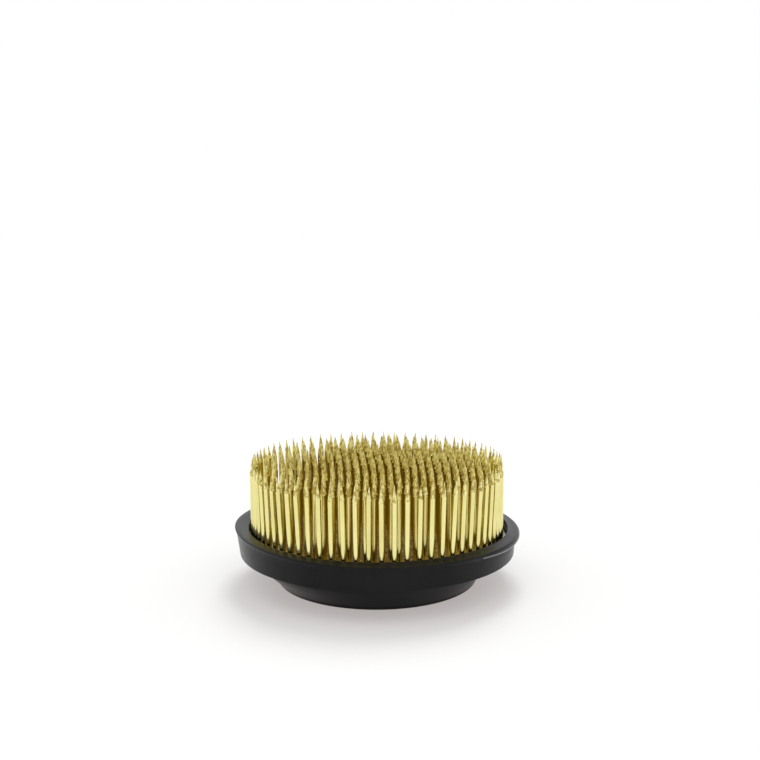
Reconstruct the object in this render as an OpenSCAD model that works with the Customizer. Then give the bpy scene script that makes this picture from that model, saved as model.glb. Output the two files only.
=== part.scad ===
// Flower frog: a heavy cast weight set with a dense field of upright, pointed
// brass needles, seated in a stepped rubber cup that it lifts out of.
// The origin is on the supporting surface, on the axis of the round body, with +Z up.

/* [Needles] */
// Diameter of each needle
needle_diameter = 1.0; // [0.8:0.05:1.2]
// Length of a needle from the top of the weight to its point
needle_height = 15.9; // [12:0.1:20]
// Length of the ground, pointed end of a needle
point_length = 3.2; // [2:0.1:4.5]
// Diameter of the small flat left on the point
point_diameter = 0.12; // [0.05:0.01:0.3]
// Depth to which a needle is set into the weight
seat_depth = 1.75; // [1.2:0.05:2.2]
// Clearance around a needle in its seat
seat_clearance = 0.04; // [0.02:0.01:0.06]
// Share of the room between neighbouring needles that their random lean may take up
lean_share = 0.75; // [0:0.05:1]

/* [Needle field] */
// Radius of the outermost ring of needles
ring_radius = 24.7; // [20:0.1:32]
// Number of needles in the outermost ring
ring_needles = 72; // [48:1:78]
// Turn of the outermost ring about the axis, in degrees
ring_turn = 1.8; // [0:0.1:7]
// Swing by which the ring's needles crowd towards its left and right, in degrees
ring_crowding = 2.1; // [0:0.1:3]
// Lean of the ring's needles to its left and right, at its four quarters, in degrees
ring_splay = 2.6; // [0:0.1:4]
// Number of staggered rows inside the ring, side by side from left to right
field_rows = 28; // [17:1:29]
// Clear distance between the outermost ring and the staggered rows
ring_spacing = 1.8; // [1.4:0.1:2.6]
// Share by which the rows spread apart from the middle of the field to its back
row_opening = 0.06; // [0:0.01:0.12]
// Sideways bow of the rows at their front and back ends
row_bow = 0.9; // [0:0.1:1.2]
// Turn of the staggered rows about the axis, in degrees
field_turn = 2.5; // [-10:0.1:10]

/* [Weight] */
// Width of metal outside the outermost ring of needles
weight_margin = 1.2; // [0.8:0.05:2]
// Metal left under the needles' seats at the edge of the weight's flange
seat_floor = 0.25; // [0.2:0.05:2]
// Drop of the flange's underside from its edge to the boss
flange_drop = 1.6; // [0.8:0.1:2.5]
// Radius of the round boss under the flange
boss_radius = 18.4; // [14:0.2:19.4]
// Height of the boss below the lowest point of the flange's underside
boss_depth = 4.4; // [3:0.1:7]
// Chamfer on the lower edge of the boss
boss_chamfer = 0.6; // [0.3:0.1:1]

/* [Rubber cup] */
// Height of the rim above the top of the weight
rim_height = 1.8; // [1:0.1:3]
// Clearance between the weight and the cup's walls and shelf
cup_clearance = 0.1; // [0.05:0.01:0.3]
// Thickness of the cup's upper wall
cup_wall = 1.35; // [1:0.05:2]
// Thickness of the sloped shelf under the weight's flange
shelf_thickness = 0.9; // [0.7:0.05:1.5]
// Reach of the rolled lip beyond the upper wall
lip_reach = 0.9; // [0.5:0.05:1.2]
// Height of the rolled lip
lip_height = 1.5; // [1.3:0.05:1.6]
// Thickness of the foot's wall
foot_wall = 1.4; // [1:0.05:2]
// Thickness of the foot's inward edge, which the boss stands on
foot_edge = 1.0; // [0.8:0.05:1.6]
// Width of the foot's inward edge under the boss
foot_ledge = 2.9; // [1.5:0.1:5]
// Outward draft of the foot's wall over its height
foot_draft = 0.4; // [0:0.05:0.6]

/* [Smoothness] */
// Facets around the weight and the cup
round_facets = 192; // [96:12:256]
// Facets around one needle
needle_facets = 20; // [16:2:32]

/* [Hidden] */
// Heights, from the supporting surface up
boss_bottom_z = foot_edge;
slope_bottom_z = boss_bottom_z + boss_depth;
slope_top_z = slope_bottom_z + flange_drop;
weight_top_z = slope_top_z + seat_depth + seat_floor;
rim_z = weight_top_z + rim_height;
shelf_bottom_z = slope_bottom_z - cup_clearance;
shelf_top_z = slope_top_z - cup_clearance;
wall_bottom_z = shelf_top_z - shelf_thickness;

// Radii of the weight and the cup
weight_radius = ring_radius + weight_margin;
cup_inner_radius = weight_radius + cup_clearance;
wall_radius = cup_inner_radius + cup_wall;
lip_radius = wall_radius + lip_reach;
foot_inner_radius = boss_radius + cup_clearance;
foot_radius = foot_inner_radius + foot_wall;
ledge_radius = foot_inner_radius - foot_ledge;

// Rounded edges of the cup
lip_round = lip_height / 2;
edge_round = 0.5;
foot_round = 0.45;
arc_steps = 6;

// Staggered rows run from front to back. Neighbouring needles stand at the corners of
// equal-sided triangles, so every other row is shifted by half of the spacing along it
field_radius = ring_radius - ring_spacing;
row_middle = (field_rows - 1) / 2;
row_edge_share = 0.6;
row_step = field_radius / (row_middle + row_edge_share);
row_spacing = row_step * 2 / sqrt(3);

// Two neighbours that lean straight at each other, each along both axes, just miss
bow_slope = 2 * row_bow / field_radius;
front_step = row_step * (1 - row_opening * field_radius / ring_radius) - bow_slope * row_spacing / 2;
nearest = min(ring_spacing, norm([front_step, row_spacing / 2]));
shank_height = needle_height - point_length;
needle_lean = lean_share * atan((nearest - needle_diameter) / (2 * sqrt(2) * shank_height));

// The outermost ring is kept as arcs of needles
ring_arcs = 6;
ring_lean_share = 0.5;

// Nodes: the cup, the weight, the arcs of the outermost ring and the staggered rows
function two_digits(i) = i < 10 ? str("0", i) : str(i);
function arc_name(i) = str("needle_ring_arc_", i + 1);
function row_name(i) = str("needle_row_", two_digits(i + 1));

// A value from -1 to 1 that is fixed by its seed
function scatter(seed) = rands(-1, 1, 1, seed)[0];

// Each place is [x, y, lean about X, lean about Y] at the top of the weight
function leaning(x, y, seed, share, splay = 0) =
    [x, y, share * needle_lean * scatter(seed), splay + share * needle_lean * scatter(seed + 5000)];
function ring_place(k) =
    let (
        even = 360 * k / ring_needles,
        a = even + ring_turn - ring_crowding * sin(2 * even),
        splay = ring_splay * sin(2 * a) * sin(2 * a) * sign(cos(a))
    )
    leaning(ring_radius * cos(a), ring_radius * sin(a), 100 + k, ring_lean_share, splay);
function arc_places(i) =
    [for (k = [floor(i * ring_needles / ring_arcs) : floor((i + 1) * ring_needles / ring_arcs) - 1])
        ring_place(k)];
function row_places(i) =
    let (
        x = (i - row_middle) * row_step,
        half = sqrt(field_radius * field_radius - x * x),
        shift = (i % 2) * row_spacing / 2,
        low = ceil((-half - shift) / row_spacing),
        high = floor((half - shift) / row_spacing)
    )
    [for (k = [low : high])
        let (
            y = row_spacing * k + shift,
            open_x = x * (1 + row_opening * y / ring_radius) - row_bow * pow(y / field_radius, 2)
        )
        if (norm([open_x, y]) <= field_radius)
            leaning(
                open_x * cos(field_turn) - y * sin(field_turn),
                open_x * sin(field_turn) + y * cos(field_turn),
                1000 + 50 * i + k - low, 1)];

// Points of a rounded corner about a centre, from one angle to another
function corner(cx, cz, r, from, to) =
    [for (i = [0 : arc_steps]) let (a = from + (to - from) * i / arc_steps)
        [cx + r * cos(a), cz + r * sin(a)]];

// Moves its children from the axis at the weight's top to a needle's place
module at_place(place)
    translate([place[0], place[1], weight_top_z]) rotate([place[2], place[3], 0]) children();

// One needle: a straight shank with a tapered point, standing on the floor of its seat
module needle()
    rotate_extrude($fn = needle_facets)
        polygon([
            [0, -seat_depth],
            [needle_diameter / 2, -seat_depth],
            [needle_diameter / 2, shank_height],
            [point_diameter / 2, needle_height],
            [0, needle_height]
        ]);

module needles(places)
    color("khaki") for (place = places) at_place(place) needle();

// The seat of one needle, open at the top of the weight
module seat()
    translate([0, 0, -seat_depth])
        cylinder(d = needle_diameter + 2 * seat_clearance, h = 2 * seat_depth, $fn = needle_facets);

// The cast weight: a flange with a sloped underside over a round boss
module weight_blank()
    rotate_extrude($fn = round_facets)
        polygon([
            [0, boss_bottom_z],
            [boss_radius - boss_chamfer, boss_bottom_z],
            [boss_radius, boss_bottom_z + boss_chamfer],
            [boss_radius, slope_bottom_z],
            [weight_radius, slope_top_z],
            [weight_radius, weight_top_z],
            [0, weight_top_z]
        ]);

module weight()
    color("darkgray") difference() {
        weight_blank();
        for (i = [0 : ring_arcs - 1]) for (place = arc_places(i)) at_place(place) seat();
        for (i = [0 : field_rows - 1]) for (place = row_places(i)) at_place(place) seat();
    }

// The cup: a foot, a sloped shelf, an upper wall and a rolled lip, all of one thickness of rubber
module rubber_cup()
    color("dimgray") rotate_extrude($fn = round_facets)
        polygon(concat(
            [[ledge_radius, 0]],
            corner(foot_radius - foot_round, foot_round, foot_round, -90, 0),
            [[foot_radius + foot_draft, shelf_bottom_z - shelf_thickness]],
            corner(wall_radius - edge_round, wall_bottom_z + edge_round, edge_round, -75, 0),
            [[wall_radius, rim_z - lip_height - lip_reach / 2]],
            corner(lip_radius - lip_round, rim_z - lip_round, lip_round, -45, 90),
            [
                [cup_inner_radius, rim_z],
                [cup_inner_radius, shelf_top_z],
                [foot_inner_radius, shelf_bottom_z],
                [foot_inner_radius, boss_bottom_z],
                [ledge_radius, boss_bottom_z]
            ]
        ));

rubber_cup();
weight();
for (i = [0 : ring_arcs - 1])
    needles(arc_places(i));
for (i = [0 : field_rows - 1])
    needles(row_places(i));
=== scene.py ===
"""Looks of a pin flower frog: brass needles in a cast weight, seated in a black rubber cup.

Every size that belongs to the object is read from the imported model. The needles are found in their
own solids, the weight is rebuilt with its cast skin and the metal drawn up round each needle, and
the cup is turned from a profile and then eased out of true, as soft rubber is.
"""

import logging
import math
import random
from collections.abc import Iterable, Sequence
from dataclasses import dataclass, field
from enum import Enum

import bmesh
import bpy
from mathutils import Matrix, Vector, noise
from mathutils.kdtree import KDTree


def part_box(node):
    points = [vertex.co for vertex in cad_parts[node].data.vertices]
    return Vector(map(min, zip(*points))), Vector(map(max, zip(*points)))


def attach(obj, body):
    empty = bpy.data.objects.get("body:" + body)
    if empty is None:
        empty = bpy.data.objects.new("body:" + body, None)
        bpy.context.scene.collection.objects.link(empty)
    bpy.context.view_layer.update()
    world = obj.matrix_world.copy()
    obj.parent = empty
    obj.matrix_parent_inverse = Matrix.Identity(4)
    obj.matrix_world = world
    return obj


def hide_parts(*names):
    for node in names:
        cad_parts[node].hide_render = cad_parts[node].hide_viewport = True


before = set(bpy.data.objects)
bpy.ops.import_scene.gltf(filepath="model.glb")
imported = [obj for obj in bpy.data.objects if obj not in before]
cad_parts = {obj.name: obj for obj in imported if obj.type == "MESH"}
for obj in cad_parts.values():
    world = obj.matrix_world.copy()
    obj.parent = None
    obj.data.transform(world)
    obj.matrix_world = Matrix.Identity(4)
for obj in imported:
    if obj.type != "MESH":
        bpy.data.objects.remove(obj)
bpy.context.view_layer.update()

LOG = logging.getLogger("flower_frog")
MM = 0.001
TOUCH = 0.02 * MM
BLACK = (0.0, 0.0, 0.0)
Point = tuple[float, float]
Colour = tuple[float, float, float]
Direction = tuple[float, float, float]


class Body(Enum):
    """Rigid bodies of the model."""

    CUP = "cup"
    FROG = "frog"


class Slot(Enum):
    """Finish slots of the record."""

    RUBBER = "rubber"
    LEAD = "lead"
    BRASS = "brass"


class Skin(Enum):
    """The two kinds of face on a needle, as indices into its materials."""

    SHANK = 0
    POINT = 1


# ---------------------------------------------------------------- small tools


def smooth_step(low: float, high: float, value: float) -> float:
    """Eases from 0 to 1 between two values.

    Args:
        low: the value at or under which the result is 0.
        high: the value at or over which the result is 1.
        value: the value to ease.

    Returns:
        The eased share.
    """
    share = min(1.0, max(0.0, (value - low) / (high - low)))
    return share * share * (3.0 - 2.0 * share)


def bell(angle: float, centre: float, width: float) -> float:
    """A smooth swell round a turn, 1 at its centre.

    Args:
        angle: where it is wanted, in radians.
        centre: the angle of its top, in radians.
        width: how far it reaches to each side, in radians.

    Returns:
        The share from 0 to 1.
    """
    apart = abs((angle - centre + math.pi) % (2.0 * math.pi) - math.pi)
    return 1.0 - smooth_step(0.0, width, apart)


def arc(centre: Point, radius: float, start: float, end: float, steps: int) -> list[Point]:
    """Points along an arc in the plane of a profile.

    Args:
        centre: the arc's centre.
        radius: its radius.
        start: its first angle in degrees.
        end: its last angle in degrees.
        steps: the number of pieces it is cut into.

    Returns:
        The points, both ends included.
    """
    return [
        (
            centre[0] + radius * math.cos(math.radians(start + (end - start) * i / steps)),
            centre[1] + radius * math.sin(math.radians(start + (end - start) * i / steps)),
        )
        for i in range(steps + 1)
    ]


def evenly(points: Sequence[Point], longest: float) -> list[Point]:
    """Splits the long stretches of a profile.

    Args:
        points: the profile's corners in order.
        longest: the longest stretch that may stay whole.

    Returns:
        The profile with points added along its straights.
    """
    out: list[Point] = [points[0]]
    for (x0, z0), (x1, z1) in zip(points, points[1:]):
        parts = max(1, math.ceil(math.hypot(x1 - x0, z1 - z0) / longest))
        out += [(x0 + (x1 - x0) * i / parts, z0 + (z1 - z0) * i / parts) for i in range(1, parts + 1)]
    return out


def mesh_object(name: str, build: bmesh.types.BMesh,
                finishes: Iterable[bpy.types.Material]) -> bpy.types.Object:
    """Turns a finished bmesh into an object with its materials.

    Args:
        name: the object's name.
        build: the mesh, which is freed here.
        finishes: the materials, in the order of the faces' indices.

    Returns:
        The new object, linked to the scene.
    """
    mesh = bpy.data.meshes.new(name)
    bmesh.ops.recalc_face_normals(build, faces=build.faces)
    build.to_mesh(mesh)
    build.free()
    for finish in finishes:
        mesh.materials.append(finish)
    mesh.polygons.foreach_set("use_smooth", [True] * len(mesh.polygons))
    made = bpy.data.objects.new(name, mesh)
    bpy.context.scene.collection.objects.link(made)
    return made


# ---------------------------------------------------------------- finishes


class Nodes:
    """A material's node tree, with short ways to add and join its nodes."""

    def __init__(self, name: str) -> None:
        """Makes the material with a Principled shader in place.

        Args:
            name: the material's name.
        """
        self.material = bpy.data.materials.new(name)
        self.material.use_nodes = True
        self.tree = self.material.node_tree
        self.tree.nodes.clear()
        self.shader = self.add("ShaderNodeBsdfPrincipled")
        output = self.add("ShaderNodeOutputMaterial")
        self.join(self.shader.outputs["BSDF"], output.inputs["Surface"])

    def add(self, kind: str, **values: object) -> bpy.types.Node:
        """Adds a node.

        Args:
            kind: the node's type.
            values: attributes to set on it.

        Returns:
            The node.
        """
        node = self.tree.nodes.new(kind)
        for key, value in values.items():
            setattr(node, key, value)
        return node

    def join(self, source: bpy.types.NodeSocket, target: bpy.types.NodeSocket) -> None:
        """Links one socket to another."""
        self.tree.links.new(source, target)

    def place(self, scale: tuple[float, float, float]) -> bpy.types.NodeSocket:
        """The object's own coordinates, stretched.

        Args:
            scale: how many times each axis is taken.

        Returns:
            The stretched coordinates.
        """
        mapping = self.add("ShaderNodeMapping")
        mapping.inputs["Scale"].default_value = scale
        self.join(self.add("ShaderNodeTexCoord").outputs["Object"], mapping.inputs["Vector"])
        return mapping.outputs["Vector"]

    def grain(self, scale: float, detail: float = 4.0, rough: float = 0.5,
              stretch: tuple[float, float, float] = (1.0, 1.0, 1.0)) -> bpy.types.NodeSocket:
        """Noise over the object.

        Args:
            scale: the number of grains in a metre.
            detail: how many finer layers are added.
            rough: how strong the finer layers are.
            stretch: how many times each axis is taken.

        Returns:
            The noise from 0 to 1.
        """
        texture = self.add("ShaderNodeTexNoise")
        texture.inputs["Scale"].default_value = scale
        texture.inputs["Detail"].default_value = detail
        texture.inputs["Roughness"].default_value = rough
        self.join(self.place(stretch), texture.inputs["Vector"])
        return texture.outputs["Fac"]

    def ramp(self, source: bpy.types.NodeSocket,
             stops: Sequence[tuple[float, Colour]]) -> bpy.types.NodeSocket:
        """Maps a value to colours.

        Args:
            source: the value.
            stops: each stop's place and colour.

        Returns:
            The colour.
        """
        node = self.add("ShaderNodeValToRGB")
        elements = node.color_ramp.elements
        while len(elements) < len(stops):
            elements.new(0.5)
        for element, (place, colour) in zip(elements, stops):
            element.position = place
            element.color = (*colour, 1.0)
        self.join(source, node.inputs["Fac"])
        return node.outputs["Color"]

    def span(self, source: bpy.types.NodeSocket, low: float, high: float) -> bpy.types.NodeSocket:
        """Maps a value from 0 to 1 on to a range.

        Args:
            source: the value.
            low: the result at 0.
            high: the result at 1.

        Returns:
            The mapped value.
        """
        node = self.add("ShaderNodeMapRange")
        node.inputs["To Min"].default_value = low
        node.inputs["To Max"].default_value = high
        self.join(source, node.inputs["Value"])
        return node.outputs["Result"]

    def outward(self, start: float, end: float) -> bpy.types.NodeSocket:
        """How far out from the object's axis a place is.

        Args:
            start: the distance at or under which the result is 0.
            end: the distance at or over which the result is 1.

        Returns:
            The share from 0 to 1.
        """
        away = self.add("ShaderNodeVectorMath", operation="LENGTH")
        self.join(self.place((1.0, 1.0, 0.0)), away.inputs[0])
        share = self.add("ShaderNodeMapRange")
        share.inputs["From Min"].default_value = start
        share.inputs["From Max"].default_value = end
        self.join(away.outputs["Value"], share.inputs["Value"])
        return share.outputs["Result"]

    def blend(self, share: bpy.types.NodeSocket, low: bpy.types.NodeSocket,
              high: bpy.types.NodeSocket) -> bpy.types.NodeSocket:
        """Blends two colours.

        Args:
            share: how much of the second colour is taken, from 0 to 1.
            low: the colour at 0.
            high: the colour at 1.

        Returns:
            The colour.
        """
        node = self.add("ShaderNodeMix", data_type="RGBA")
        self.join(share, node.inputs["Factor"])
        colours = [socket for socket in node.inputs if socket.type == "RGBA"]
        self.join(low, colours[0])
        self.join(high, colours[1])
        return next(socket for socket in node.outputs if socket.type == "RGBA")

    def bump(self, heights: Sequence[tuple[bpy.types.NodeSocket, float]]) -> None:
        """Raises the surface by several heights, one after another.

        Args:
            heights: each height from 0 to 1 and its depth in metres.
        """
        last = None
        for height, depth in heights:
            node = self.add("ShaderNodeBump")
            node.inputs["Strength"].default_value = 1.0
            node.inputs["Distance"].default_value = depth
            self.join(height, node.inputs["Height"])
            if last is not None:
                self.join(last, node.inputs["Normal"])
            last = node.outputs["Normal"]
        self.join(last, self.shader.inputs["Normal"])


@dataclass(frozen=True)
class DrawnBrass:
    """Drawn brass wire with marks along its length, bright at the field's edge. Deep inside the field it is
    given darker, browner colours, which are painted shade.

    Deep inside, a faint brown glow is painted light that stands for the light the needles pass on to one
    another.
    """

    name: str = "drawn_brass"
    bright: Colour = (0.90, 0.84, 0.385)
    tarnished: Colour = (0.74, 0.66, 0.25)
    # painted shade: darker, browner colours for the shanks deep inside the field, where the needles shade one
    # another
    painted_shade_bright: Colour = (0.58, 0.47, 0.14)
    painted_shade_tarnished: Colour = (0.46, 0.35, 0.08)
    passed_on: Colour = (0.036, 0.022, 0.0013)
    painted_shade_within: float = 20.0 * MM
    unshaded_beyond: float = 23.6 * MM
    roughness: tuple[float, float] = (0.12, 0.20)
    stain_grain: float = 260.0
    stain_ramp: tuple[float, float] = (0.30, 0.75)
    mark_grain: float = 5200.0
    mark_depth: float = 0.004 * MM

    def material(self) -> bpy.types.Material:
        """Builds the material.

        Returns:
            The material.
        """
        nodes = Nodes(self.name)
        stain = nodes.grain(self.stain_grain, detail=5.0, rough=0.6, stretch=(1.0, 1.0, 0.35))
        marks = nodes.grain(self.mark_grain, detail=3.0, rough=0.6, stretch=(1.0, 1.0, 0.03))
        outer = nodes.ramp(stain, list(zip(self.stain_ramp, (self.bright, self.tarnished))))
        # painted shade: the same stain ramp in darker colours, used deep inside the field
        painted_shade_colour = nodes.ramp(stain, list(zip(self.stain_ramp, (self.painted_shade_bright, self.painted_shade_tarnished))))
        # the mask of the painted shade and of the painted glow, from deep inside the field out to its edge
        share = nodes.outward(self.painted_shade_within, self.unshaded_beyond)
        nodes.join(nodes.blend(share, painted_shade_colour, outer), nodes.shader.inputs["Base Color"])
        nodes.shader.inputs["Emission Color"].default_value = (*self.passed_on, 1.0)
        nodes.join(nodes.span(share, 1.0, 0.0), nodes.shader.inputs["Emission Strength"])
        nodes.join(nodes.span(stain, *self.roughness), nodes.shader.inputs["Roughness"])
        nodes.shader.inputs["Metallic"].default_value = 1.0
        nodes.bump([(marks, self.mark_depth)])
        return nodes.material


@dataclass(frozen=True)
class GroundBrass:
    """Brass ground to a point on a wheel: matte and scored across, in lighter and darker patches."""

    name: str = "ground_brass"
    light: Colour = (1.0, 0.93, 0.43)
    dark: Colour = (0.55, 0.43, 0.12)
    roughness: tuple[float, float] = (0.32, 0.50)
    patch_grain: float = 1250.0
    patch_ramp: tuple[float, float] = (0.40, 0.56)
    score_grain: float = 2600.0
    score_depth: float = 0.03 * MM
    pit_depth: float = 0.11 * MM

    def material(self) -> bpy.types.Material:
        """Builds the material.

        Returns:
            The material.
        """
        nodes = Nodes(self.name)
        patches = nodes.grain(self.patch_grain, detail=1.5, rough=0.5)
        scores = nodes.grain(self.score_grain, detail=2.0, rough=0.6, stretch=(0.6, 0.6, 2.2))
        colour = nodes.ramp(patches, list(zip(self.patch_ramp, (self.dark, self.light))))
        nodes.join(colour, nodes.shader.inputs["Base Color"])
        nodes.join(nodes.span(patches, *reversed(self.roughness)), nodes.shader.inputs["Roughness"])
        nodes.shader.inputs["Metallic"].default_value = 1.0
        nodes.bump([(patches, self.pit_depth), (scores, self.score_depth)])
        return nodes.material


@dataclass(frozen=True)
class CastLead:
    """Cast lead alloy with a pocked skin: dull oxide over bright metal. Near its axis, among the needles, it
    is painted golden brown with bright golden glints, a painted reflection of the brass.

    The painted reflection follows the distance from the axis at every height, the boss included. There a
    faint speckled glow stands for the light that the brass passes on.
    """

    name: str = "cast_lead"
    dull: Colour = (0.42, 0.42, 0.41)
    bright: Colour = (0.86, 0.85, 0.83)
    # painted reflection: golden-brown colour and bright golden glints among the needles stand for the brass
    # mirrored in the lead
    painted_reflection: Colour = (0.34, 0.26, 0.09)
    painted_highlight: Colour = (0.95, 0.80, 0.42)
    passed_on: Colour = (0.15, 0.115, 0.040)
    painted_reflection_within: float = 24.0 * MM
    plain_beyond: float = 25.2 * MM
    inner_metallic: float = 0.35
    plain_metallic: float = 0.55
    roughness: tuple[float, float] = (0.50, 0.30)
    patch_grain: float = 700.0
    swell_grain: float = 900.0
    pock_grain: float = 2400.0
    swell_depth: float = 0.16 * MM
    pock_depth: float = 0.09 * MM

    def material(self) -> bpy.types.Material:
        """Builds the material.

        Returns:
            The material.
        """
        nodes = Nodes(self.name)
        swell = nodes.grain(self.swell_grain, detail=3.0)
        pocks = nodes.grain(self.pock_grain, detail=3.0, rough=0.65)
        patches = nodes.grain(self.patch_grain, detail=6.0, rough=0.65)
        plain = nodes.ramp(patches, [(0.35, self.dull), (0.62, self.bright)])
        # painted reflection of the brass, with painted golden glints, among the needles
        painted_reflection_colour = nodes.ramp(pocks, [(0.42, self.painted_reflection), (0.58, self.painted_highlight)])
        # the mask of the painted reflection and of the painted glow
        plain_share = nodes.outward(self.painted_reflection_within, self.plain_beyond)
        nodes.join(nodes.blend(plain_share, painted_reflection_colour, plain), nodes.shader.inputs["Base Color"])
        metallic = nodes.span(plain_share, self.inner_metallic, self.plain_metallic)
        nodes.join(metallic, nodes.shader.inputs["Metallic"])
        specks = nodes.ramp(pocks, [(0.46, BLACK), (0.62, self.passed_on)])
        nodes.join(specks, nodes.shader.inputs["Emission Color"])
        nodes.join(nodes.span(plain_share, 1.0, 0.0), nodes.shader.inputs["Emission Strength"])
        nodes.join(nodes.span(patches, *self.roughness), nodes.shader.inputs["Roughness"])
        nodes.bump([(swell, self.swell_depth), (pocks, self.pock_depth)])
        return nodes.material


@dataclass(frozen=True)
class MouldedRubber:
    """Black moulded rubber: satin, with a fine grain, faint bloom and handling marks."""

    name: str = "moulded_rubber"
    black: Colour = (0.0035, 0.0035, 0.0038)
    bloom: Colour = (0.009, 0.009, 0.0093)
    roughness: tuple[float, float] = (0.22, 0.38)
    specular: float = 0.16
    bloom_grain: float = 130.0
    fine_grain: float = 5200.0
    mark_grain: float = 900.0
    grain_depth: float = 0.018 * MM
    mark_depth: float = 0.03 * MM

    def material(self) -> bpy.types.Material:
        """Builds the material.

        Returns:
            The material.
        """
        nodes = Nodes(self.name)
        bloom = nodes.grain(self.bloom_grain, detail=6.0, rough=0.65)
        grain = nodes.grain(self.fine_grain, detail=3.0, rough=0.6)
        marks = nodes.grain(self.mark_grain, detail=4.0, rough=0.6)
        nodes.join(nodes.ramp(bloom, [(0.35, self.black), (0.80, self.bloom)]),
                   nodes.shader.inputs["Base Color"])
        nodes.join(nodes.span(bloom, *self.roughness), nodes.shader.inputs["Roughness"])
        nodes.shader.inputs["Metallic"].default_value = 0.0
        nodes.shader.inputs["Specular IOR Level"].default_value = self.specular
        nodes.bump([(marks, self.mark_depth), (grain, self.grain_depth)])
        return nodes.material


@dataclass(frozen=True)
class PaleFloor:
    """Plain pale board, lit from below as well, so that the shadow on it stays faint."""

    name: str = "pale_board"
    colour: Colour = (0.47, 0.49, 0.495)
    glow: Colour = (0.385, 0.355, 0.345)
    roughness: float = 0.9

    def material(self) -> bpy.types.Material:
        """Builds the material.

        Returns:
            The material.
        """
        nodes = Nodes(self.name)
        nodes.shader.inputs["Base Color"].default_value = (*self.colour, 1.0)
        nodes.shader.inputs["Roughness"].default_value = self.roughness
        nodes.shader.inputs["Specular IOR Level"].default_value = 0.0
        nodes.shader.inputs["Emission Color"].default_value = (*self.glow, 1.0)
        nodes.shader.inputs["Emission Strength"].default_value = 1.0
        return nodes.material


# ---------------------------------------------------------------- needles


@dataclass(frozen=True)
class Needle:
    """One needle as its solid states it."""

    base: Vector
    tip: Vector
    radius: float
    shoulder: float

    @property
    def axis(self) -> Vector:
        """The direction from the base to the tip."""
        return (self.tip - self.base).normalized()

    @property
    def length(self) -> float:
        """The length from the base to the tip."""
        return (self.tip - self.base).length

    def at_height(self, z: float) -> Vector:
        """The point of the needle's axis at a height.

        Args:
            z: the height.

        Returns:
            The point.
        """
        return self.base + self.axis * ((z - self.base.z) / self.axis.z)


def solids_of(node: str) -> list[list[Vector]]:
    """Splits a CAD node into its separate solids.

    Args:
        node: the node's name.

    Returns:
        Each solid's points, in the order in which the node holds them.
    """
    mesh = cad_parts[node].data
    welded: dict[tuple[int, int, int], int] = {}
    owner = [
        welded.setdefault(tuple(round(c / (0.001 * MM)) for c in v.co), v.index)
        for v in mesh.vertices
    ]
    parent = list(range(len(mesh.vertices)))

    def root(i: int) -> int:
        """Finds the first vertex of the solid that a vertex is in.

        Args:
            i: the vertex.

        Returns:
            The solid's first vertex.
        """
        while parent[i] != i:
            parent[i] = parent[parent[i]]
            i = parent[i]
        return i

    for edge in mesh.edges:
        a, b = (root(owner[i]) for i in edge.vertices)
        parent[max(a, b)] = min(a, b)
    found: dict[int, list[Vector]] = {}
    for vertex in mesh.vertices:
        if owner[vertex.index] == vertex.index:
            found.setdefault(root(vertex.index), []).append(vertex.co.copy())
    return list(found.values())


def read_needle(points: Sequence[Vector]) -> Needle:
    """Measures one needle from its solid's points.

    Args:
        points: the points.

    Returns:
        The needle.
    """
    near = 0.1 * MM
    full_width = 0.9
    low = min(p.z for p in points)
    high = max(p.z for p in points)

    def middle(chosen: Sequence[Vector]) -> Vector:
        """The middle of a ring of points."""
        return sum(chosen, Vector()) / len(chosen)

    base = middle([p for p in points if p.z < low + near])
    tip = middle([p for p in points if p.z > high - near])
    axis = (tip - base).normalized()
    along = [(p - base).dot(axis) for p in points]
    off = [(p - base - axis * t).length for p, t in zip(points, along)]
    radius = max(off)
    shoulder = max(t for t, r in zip(along, off) if r > full_width * radius)
    return Needle(base, tip, radius, shoulder)


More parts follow.
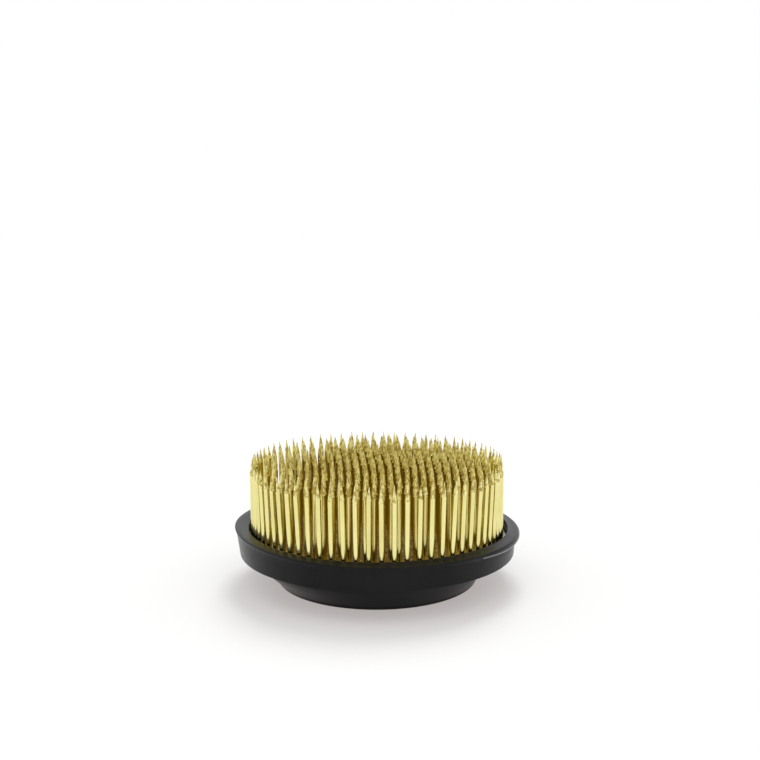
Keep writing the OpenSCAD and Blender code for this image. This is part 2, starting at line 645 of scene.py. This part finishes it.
@dataclass
class NeedleField:
    """All the needles: the outermost ring and the staggered rows inside it."""

    sides: int = 20
    sunk: float = 0.6 * MM
    shank_rings: int = 3
    point_rings: int = 7
    undercut: float = 0.02 * MM
    crisp: float = 0.05 * MM
    swell: float = 0.82
    blunt: float = 0.055 * MM
    facet_share: float = 0.07
    tip_wander: float = 0.11 * MM
    height_spread: float = 0.22 * MM
    sharp: float = math.radians(18.0)
    seed: int = 11
    needles: dict[str, list[Needle]] = field(default_factory=dict)

    def read(self) -> None:
        """Finds every needle in the model."""
        for name in sorted(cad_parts):
            if name.startswith("needle_"):
                self.needles[name] = [read_needle(points) for points in solids_of(name)]

    def everyone(self) -> list[Needle]:
        """All the needles in one list."""
        return [needle for group in self.needles.values() for needle in group]

    def sections(self, needle: Needle, surface: float,
                 draw: random.Random) -> list[tuple[float, float, float]]:
        """The rings of one needle from its foot to its point.

        Args:
            needle: the needle.
            surface: the height of the weight's top.
            draw: the source of its small differences.

        Returns:
            Each ring's distance along the needle, its radius, and how far it is ground from round.
        """
        start = (surface - needle.base.z) / needle.axis.z - self.sunk
        shoulder = needle.shoulder + draw.uniform(-1.0, 1.0) * self.height_spread
        end = needle.length - abs(draw.gauss(0.0, 0.5)) * self.height_spread
        rings = [
            (start + (shoulder - self.crisp - start) * i / self.shank_rings, needle.radius, 0.0)
            for i in range(self.shank_rings)
        ]
        rings.append((shoulder - self.crisp, needle.radius, 0.0))
        rings.append((shoulder, needle.radius - self.undercut, 0.35))
        for i in range(1, self.point_rings + 1):
            share = i / self.point_rings
            radius = (needle.radius - self.undercut) * (1.0 - share) ** self.swell
            along = shoulder + (end - shoulder) * share
            rings.append((along, max(radius, self.blunt), min(1.0, 4.0 * share)))
        return rings

    def add_needle(self, build: bmesh.types.BMesh, needle: Needle, surface: float,
                   draw: random.Random) -> None:
        """Adds one needle to a mesh.

        Args:
            build: the mesh.
            needle: the needle.
            surface: the height of the weight's top.
            draw: the source of its small differences.
        """
        turn = draw.uniform(0.0, 2.0 * math.pi)
        lobes = draw.choice((3, 4, 5))
        wander = draw.uniform(0.0, 2.0 * math.pi)
        wander_by = draw.uniform(0.2, 1.0) * self.tip_wander
        frame_of = needle.axis.to_track_quat("Z", "Y").to_matrix()
        rings = self.sections(needle, surface, draw)
        shoulder, end = rings[self.shank_rings + 1][0], rings[-1][0]
        loops = []
        for along, radius, ground in rings:
            bend = smooth_step(shoulder, end + (end - shoulder), along) * 2.0 * wander_by
            loop = []
            for k in range(self.sides):
                a = 2.0 * math.pi * k / self.sides
                cut = 1.0 - ground * self.facet_share * (1.0 + math.cos(lobes * a + turn)) / 2.0
                flat = Vector((
                    radius * cut * math.cos(a) + bend * math.cos(wander),
                    radius * cut * math.sin(a) + bend * math.sin(wander),
                    along,
                ))
                loop.append(build.verts.new(needle.base + frame_of @ flat))
            loops.append(loop)
        for i, (low, high) in enumerate(zip(loops, loops[1:])):
            for k in range(self.sides):
                j = (k + 1) % self.sides
                face = build.faces.new((low[k], low[j], high[j], high[k]))
                face.material_index = (Skin.POINT if i >= self.shank_rings else Skin.SHANK).value
        foot = build.faces.new(list(reversed(loops[0])))
        foot.material_index = Skin.SHANK.value
        top = build.faces.new(loops[-1])
        top.material_index = Skin.POINT.value

    def build(self, surface: float, finishes: Sequence[bpy.types.Material]) -> list[bpy.types.Object]:
        """Builds every needle, one object to a CAD node.

        Args:
            surface: the height of the weight's top.
            finishes: the shank's material and the point's.

        Returns:
            The objects.
        """
        draw = random.Random(self.seed)
        made = []
        for name, group in self.needles.items():
            build = bmesh.new()
            for needle in group:
                self.add_needle(build, needle, surface, draw)
            piece = mesh_object(f"{name}_brass", build, finishes)
            piece.data.set_sharp_from_angle(angle=self.sharp)
            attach(piece, Body.FROG.value)
            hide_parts(name)
            made.append(piece)
        LOG.info("needles: %d in %d objects", len(self.everyone()), len(made))
        return made


# ---------------------------------------------------------------- weight


@dataclass
class CastWeight:
    """The cast weight: a flange over a boss, with metal drawn up round every needle."""

    sides: int = 320
    ring_gap: float = 0.38 * MM
    rim_round: float = 0.3 * MM
    collar_height: float = 0.34 * MM
    collar_reach: float = 0.34 * MM
    wave_height: float = 0.26 * MM
    wave_size: float = 1.9 * MM
    side_wave: float = 0.03 * MM
    skin_sink: float = 0.10 * MM
    rim_sink: float = 0.05 * MM
    longest: float = 0.8 * MM
    sharp: float = math.radians(60.0)
    node: str = "weight"

    def __post_init__(self) -> None:
        """Reads the weight's outline from its solid."""
        low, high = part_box(self.node)
        self.bottom = low.z
        self.top = high.z
        self.radius = high.x
        points = [v.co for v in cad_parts[self.node].data.vertices]
        outer = [p for p in points if math.hypot(p.x, p.y) > 0.995 * self.radius]
        self.edge = min(p.z for p in outer)
        boss = [p for p in points if p.z < self.edge - 1.0 * MM]
        self.boss_radius = max(math.hypot(p.x, p.y) for p in boss)
        wide = [p for p in boss if math.hypot(p.x, p.y) > 0.999 * self.boss_radius]
        self.slope_bottom = max(p.z for p in wide)
        self.chamfer_top = min(p.z for p in wide)
        self.foot_radius = max(math.hypot(p.x, p.y) for p in points if p.z < self.bottom + 0.01 * MM)

    def height(self, x: float, y: float, feet: KDTree, radius: float) -> float:
        """The height of the cast top at a place.

        Args:
            x: the place.
            y: the place.
            feet: the needles' feet.
            radius: a needle's radius.

        Returns:
            The height.
        """
        wave = noise.fractal(Vector((x, y, 0.0)) / self.wave_size, 1.0, 2.0, 3)
        apart = max(0.0, feet.find((x, y, 0.0))[2] - radius)
        collar = self.collar_height * math.exp(-apart / self.collar_reach)
        return self.top - self.skin_sink + wave * self.wave_height + collar

    def build(self, needles: Sequence[Needle], finish: bpy.types.Material) -> bpy.types.Object:
        """Builds the weight.

        Args:
            needles: the needles that it holds.
            finish: its material.

        Returns:
            The object.
        """
        feet = KDTree(len(needles))
        for i, needle in enumerate(needles):
            place = needle.at_height(self.top)
            feet.insert((place.x, place.y, 0.0), i)
        feet.balance()
        radius = needles[0].radius
        build = bmesh.new()
        angles = [2.0 * math.pi * k / self.sides for k in range(self.sides)]
        rings = math.ceil((self.radius - self.rim_round) / self.ring_gap)
        centre = build.verts.new((0.0, 0.0, self.height(0.0, 0.0, feet, radius)))
        loops = []
        for i in range(1, rings + 1):
            r = (self.radius - self.rim_round) * i / rings
            loops.append([
                build.verts.new((r * math.cos(a), r * math.sin(a),
                                 self.height(r * math.cos(a), r * math.sin(a), feet, radius)))
                for a in angles
            ])
        side = self.profile()
        for r, z in side:
            loop = []
            for a in angles:
                spot = Vector((r * math.cos(a), r * math.sin(a), z))
                swell = 1.0 + self.side_wave * noise.noise(spot / self.wave_size) / max(r, 1.0 * MM)
                loop.append(build.verts.new((spot.x * swell, spot.y * swell, z)))
            loops.append(loop)
        for k in range(self.sides):
            build.faces.new((centre, loops[0][k], loops[0][(k + 1) % self.sides]))
        for low, high in zip(loops, loops[1:]):
            for k in range(self.sides):
                build.faces.new((low[k], high[k], high[(k + 1) % self.sides], low[(k + 1) % self.sides]))
        build.faces.new(loops[-1])
        piece = mesh_object("weight_lead", build, [finish])
        piece.data.set_sharp_from_angle(angle=self.sharp)
        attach(piece, Body.FROG.value)
        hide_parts(self.node)
        LOG.info("weight: %d faces", len(piece.data.polygons))
        return piece

    def profile(self) -> list[Point]:
        """The outline from the top's rounded edge down the side and under the boss.

        Returns:
            The points.
        """
        rim_centre = (self.radius - self.rim_round, self.top - self.rim_round - self.rim_sink)
        rim = arc(rim_centre, self.rim_round, 75.0, 0.0, 4)
        under = [
            (self.radius, self.edge),
            (self.boss_radius, self.slope_bottom),
            (self.boss_radius, self.chamfer_top),
            (self.foot_radius, self.bottom),
            (1.0 * MM, self.bottom),
        ]
        return evenly([*rim, *under], self.longest)


# ---------------------------------------------------------------- cup


@dataclass
class RubberCup:
    """The rubber cup: a foot, a sloped shelf, a wall and a rim whose lip is rolled out on one side."""

    sides: int = 288
    corner: float = 0.22 * MM
    foot_corner: float = 0.5 * MM
    longest: float = 0.45 * MM
    lip_side: float = math.radians(-4.0)
    lip_width: float = math.radians(64.0)
    lip_push: float = 0.20 * MM
    lip_sink: float = 0.40 * MM
    lip_drop: float = 1.45 * MM
    flare_side: float = math.radians(184.0)
    flare_width: float = math.radians(95.0)
    flare_push: float = 0.75 * MM
    flare_rise: float = 0.95 * MM
    foot_flare_side: float = math.radians(205.0)
    foot_flare_width: float = math.radians(70.0)
    foot_flare_push: float = 1.5 * MM
    wander: float = 0.06 * MM
    lean_in: float = 0.50 * MM
    inner_rise: float = 0.35 * MM
    # how far the lip must be rolled before its underside gets the painted highlight
    painted_highlight_from: float = 0.30
    sharp: float = math.radians(60.0)
    node: str = "rubber_cup"

    def __post_init__(self) -> None:
        """Reads the cup's outline from its solid."""
        low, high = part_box(self.node)
        points = [(math.hypot(v.co.x, v.co.y), v.co.z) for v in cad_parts[self.node].data.vertices]
        self.rim = high.z
        self.lip_radius = high.x
        self.bore = min(r for r, z in points if z > self.rim - 0.05 * MM)
        self.shelf_top = min(z for r, z in points if abs(r - self.bore) < TOUCH)
        self.foot_flat = max(r for r, z in points if z < low.z + 0.01 * MM)
        self.ledge = min(r for r, z in points)
        self.ledge_top = max(z for r, z in points if abs(r - self.ledge) < TOUCH)
        well = [(r, z) for r, z in points if abs(z - self.ledge_top) < TOUCH]
        self.foot_bore = max(r for r, z in well if r < self.foot_flat)
        self.shelf_bottom = max(z for r, z in points if abs(r - self.foot_bore) < TOUCH)
        lower = [(r, z) for r, z in points if z < self.shelf_bottom - 0.3 * MM and r > self.foot_bore]
        self.foot_radius = max(r for r, z in lower)
        self.foot_top = max(z for r, z in lower if abs(r - self.foot_radius) < TOUCH)
        upright = (self.shelf_top - 0.6 * MM, self.rim - 1.6 * MM)
        self.wall_radius = max(r for r, z in points if upright[0] < z < upright[1] and r > self.bore)
        self.wall_bottom = min(z for r, z in points if r > self.foot_radius + 3.0 * MM)

    def profile(self, lip: float) -> list[Point]:
        """The closed outline of the rubber at one place round the cup.

        Args:
            lip: how far the lip is rolled out there, from 0 to 1.

        Returns:
            The points, from the ledge's lower edge outwards and round. Every outline has as many.
        """
        reach = (self.lip_radius - self.wall_radius) * (0.30 + 0.70 * lip)
        edge = self.wall_radius + reach
        top = self.rim - 0.15 * MM * (1.0 - lip)
        lip_low = top - (0.45 * MM + self.lip_drop * lip)
        crease = 0.06 * MM + 0.16 * MM * lip
        outline = [(self.ledge, 0.0)]
        outline += arc((self.foot_flat, self.foot_corner), self.foot_corner, -90.0, 0.0, 6)
        outline += [(self.foot_radius, self.foot_top - 0.5 * MM)]
        outline += arc((self.foot_radius + 0.6 * MM, self.foot_top - 0.45 * MM), 0.6 * MM, 165.0, 105.0, 4)
        outline += arc((self.wall_radius - 0.08 * MM, self.wall_bottom + 0.12 * MM), 0.08 * MM, -75.0, 0.0, 4)
        outline += [
            (self.wall_radius + 0.02 * MM, self.wall_bottom + 1.2 * MM),
            (self.wall_radius + 0.3 * reach * (1.0 - lip), lip_low - crease - 0.35 * MM),
            (self.wall_radius + (0.55 * (1.0 - lip) - 0.48 * lip) * reach, lip_low - crease),
            (self.wall_radius + (0.75 - 0.35 * lip) * reach, lip_low),
            (edge - 0.04 * MM - 0.16 * MM * lip, lip_low + (0.22 + 0.18 * lip) * MM),
            (edge, lip_low + (0.45 - 0.10 * (1.0 - lip) + 0.35 * lip) * MM),
        ]
        bend = self.corner * (1.0 + 2.2 * lip)
        outline += arc((edge - bend, top - bend), bend, 0.0, 82.0, 6)
        outline += [
            ((edge + self.bore) / 2.0 + 0.1 * MM, top + 0.03 * MM * (1.0 - lip)),
            (self.bore + self.corner, self.rim - 0.10 * MM * lip),
        ]
        outline += arc((self.bore + self.corner, self.rim - self.corner), self.corner, 100.0, 180.0, 4)
        outline += [
            (self.bore, self.shelf_top),
            (self.foot_bore, self.shelf_bottom),
            (self.foot_bore, self.ledge_top + 0.2 * MM),
            (self.foot_bore - 0.2 * MM, self.ledge_top),
            (self.ledge + 0.2 * MM, self.ledge_top),
        ]
        return outline

    def ring_points(self, angle: float, counts: Sequence[int]) -> list[Point]:
        """The outline at one place round the cup, with its straights split.

        Args:
            angle: the place, in radians.
            counts: into how many parts each stretch is split.

        Returns:
            The points.
        """
        outline = self.profile(bell(angle, self.lip_side, self.lip_width))
        out = []
        for (start, end), parts in zip(zip(outline, outline[1:] + outline[:1]), counts):
            out += [
                (start[0] + (end[0] - start[0]) * i / parts, start[1] + (end[1] - start[1]) * i / parts)
                for i in range(parts)
            ]
        return out

    def eased(self, r: float, z: float, angle: float) -> Vector:
        """Moves a point of the upper wall and rim a little out of true.

        Args:
            r: its radius.
            z: its height.
            angle: its place round the cup, in radians.

        Returns:
            The point.
        """
        round_the_cup = Vector((math.cos(angle), math.sin(angle), 0.0))
        drift = noise.noise(round_the_cup * 1.7 + Vector((0.0, 0.0, 4.0)))
        lift = noise.noise(round_the_cup * 1.3 + Vector((0.0, 0.0, 9.0)))
        upper = min(1.0, max(0.0, (z - self.wall_bottom) / (self.rim - self.wall_bottom)))
        lip = bell(angle, self.lip_side, self.lip_width)
        flare = bell(angle, self.flare_side, self.flare_width)
        foot_flare = bell(angle, self.foot_flare_side, self.foot_flare_width)
        skirt = smooth_step(0.0, self.foot_top, z) * (1.0 - smooth_step(self.foot_top, self.wall_bottom, z))
        skirt *= smooth_step(self.foot_bore, self.foot_flat, r) * foot_flare
        outer = smooth_step(self.bore - 0.1 * MM, self.wall_radius, r)
        out = upper * (self.wander * drift + outer * (self.flare_push * flare + self.lip_push * lip))
        rise = upper * outer * (self.wander * lift + self.flare_rise * flare - self.lip_sink * lip)
        inner = smooth_step(self.rim - 1.3 * MM, self.rim, z) * (1.0 - outer) * (1.0 - lip)
        out -= self.lean_in * inner
        rise += self.inner_rise * inner
        return round_the_cup * (r + out + self.foot_flare_push * skirt) + Vector((0.0, 0.0, z + rise))

    def build(self, finish: bpy.types.Material, painted_highlight: bpy.types.Material) -> bpy.types.Object:
        """Builds the cup.

        Args:
            finish: its material.
            painted_highlight: the material of the underside of its rolled lip, a lighter grey that is a
                painted highlight.

        Returns:
            The object.
        """
        widest = self.profile(1.0)
        counts = [
            max(1, math.ceil(math.dist(start, end) / self.longest))
            for start, end in zip(widest, widest[1:] + widest[:1])
        ]
        outermost = max(range(len(widest)), key=lambda i: widest[i][0])
        low = max(i for i in range(outermost) if widest[i][0] < self.wall_radius) + 1
        underside = (sum(counts[:low]), sum(counts[:low + 1]))
        build = bmesh.new()
        loops = []
        for k in range(self.sides):
            angle = 2.0 * math.pi * k / self.sides
            outline = self.ring_points(angle, counts)
            loops.append([build.verts.new(self.eased(r, z, angle)) for r, z in outline])
        points = len(loops[0])
        for k, loop in enumerate(loops):
            other = loops[(k + 1) % self.sides]
            for i in range(points):
                j = (i + 1) % points
                face = build.faces.new((loop[i], other[i], other[j], loop[j]))
                # painted highlight: faces on the underside of the rolled lip take the lighter grey rubber
                painted_lip_highlight = underside[0] <= i < underside[1]
                angle = 2.0 * math.pi * (k + 0.5) / self.sides
                if painted_lip_highlight and bell(angle, self.lip_side, self.lip_width) > self.painted_highlight_from:
                    face.material_index = 1
        piece = mesh_object("rubber_cup_skin", build, [finish, painted_highlight])
        piece.data.set_sharp_from_angle(angle=self.sharp)
        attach(piece, Body.CUP.value)
        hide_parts(self.node)
        LOG.info("cup: %d faces", len(piece.data.polygons))
        return piece


# ---------------------------------------------------------------- studio


@dataclass
class Studio:
    """The pale floor, the soft light and the camera."""

    sky: Colour = (1.0, 1.0, 1.0)
    sky_strength: float = 1.0
    front_strength: float = 0.58
    front_fade: tuple[float, float] = (-0.85, -0.25)
    floor_size: float = 4.0
    camera_back: float = 226.2 * MM
    camera_up: float = 64.7 * MM
    look_down: float = 8.88
    look_right: float = 0.17
    roll: float = -0.17
    lens: float = 55.05
    bounces: int = 12
    top_from: Direction = (0.10, 0.57, 0.82)
    top_strength: float = 1.75
    top_spread: float = 24.0

    def floor(self) -> None:
        """Lays the floor."""
        build = bmesh.new()
        bmesh.ops.create_grid(build, x_segments=8, y_segments=8, size=self.floor_size / 2.0)
        board = mesh_object("studio_floor", build, [PaleFloor().material()])

    def sky_light(self) -> None:
        """Lights the scene from all round, less strongly from the front, where the room is darker."""
        world = bpy.data.worlds.new("studio_light")
        world.use_nodes = True
        background = world.node_tree.nodes["Background"]
        background.inputs["Color"].default_value = (*self.sky, 1.0)
        tree = world.node_tree
        place = tree.nodes.new("ShaderNodeTexCoord")
        parts = tree.nodes.new("ShaderNodeSeparateXYZ")
        fade = tree.nodes.new("ShaderNodeMapRange")
        fade.inputs["From Min"].default_value = self.front_fade[0]
        fade.inputs["From Max"].default_value = self.front_fade[1]
        fade.inputs["To Min"].default_value = self.front_strength
        fade.inputs["To Max"].default_value = self.sky_strength
        tree.links.new(place.outputs["Generated"], parts.inputs["Vector"])
        tree.links.new(parts.outputs["Y"], fade.inputs["Value"])
        tree.links.new(fade.outputs["Result"], background.inputs["Strength"])
        bpy.context.scene.world = world

    def top_light(self) -> None:
        """Adds one broad, soft light from above and behind."""
        data = bpy.data.lights.new("soft_top_light", "SUN")
        data.energy = self.top_strength
        data.angle = math.radians(self.top_spread)
        lamp = bpy.data.objects.new("soft_top_light", data)
        lamp.visible_glossy = False
        lamp.rotation_mode = "QUATERNION"
        lamp.rotation_quaternion = Vector(self.top_from).to_track_quat("Z", "Y")
        bpy.context.scene.collection.objects.link(lamp)

    def camera(self, rim: float) -> None:
        """Stands the camera in front, a little above.

        Args:
            rim: the height of the cup's rim, which the camera's height is counted from.
        """
        data = bpy.data.cameras.new("camera")
        data.lens = self.lens
        data.sensor_width = 36.0
        data.clip_start = 0.01
        data.clip_end = 50.0
        camera = bpy.data.objects.new("camera", data)
        down, right = math.radians(self.look_down), math.radians(self.look_right)
        ahead = Vector((math.sin(right) * math.cos(down), math.cos(right) * math.cos(down), -math.sin(down)))
        camera.location = (0.0, -self.camera_back, rim + self.camera_up)
        turn = ahead.to_track_quat("-Z", "Y").to_matrix() @ Matrix.Rotation(math.radians(self.roll), 3, "Z")
        camera.rotation_mode = "QUATERNION"
        camera.rotation_quaternion = turn.to_quaternion()
        bpy.context.scene.collection.objects.link(camera)
        bpy.context.scene.camera = camera

    def build(self, rim: float) -> None:
        """Sets up the whole studio.

        Args:
            rim: the height of the cup's rim.
        """
        self.floor()
        self.sky_light()
        self.top_light()
        self.camera(rim)
        bpy.context.scene.view_settings.view_transform = "Standard"
        bpy.context.scene.cycles.glossy_bounces = self.bounces
        LOG.info("studio ready")


def main() -> None:
    """Builds the flower frog, its finishes and the studio round it."""
    logging.basicConfig(level=logging.INFO, format="%(name)s: %(message)s")
    field_of_needles = NeedleField()
    field_of_needles.read()
    weight = CastWeight()
    cup = RubberCup()
    weight.build(field_of_needles.everyone(), CastLead().material())
    field_of_needles.build(weight.top, [DrawnBrass().material(), GroundBrass().material()])
    # painted highlight: a lighter grey rubber for the underside of the rolled lip
    painted_lip_highlight = MouldedRubber("painted_highlight_rubber", black=(0.12, 0.12, 0.12), bloom=(0.34, 0.34, 0.34))
    cup.build(MouldedRubber().material(), painted_lip_highlight.material())
    Studio().build(cup.rim)


if __name__ == "__main__":
    main()
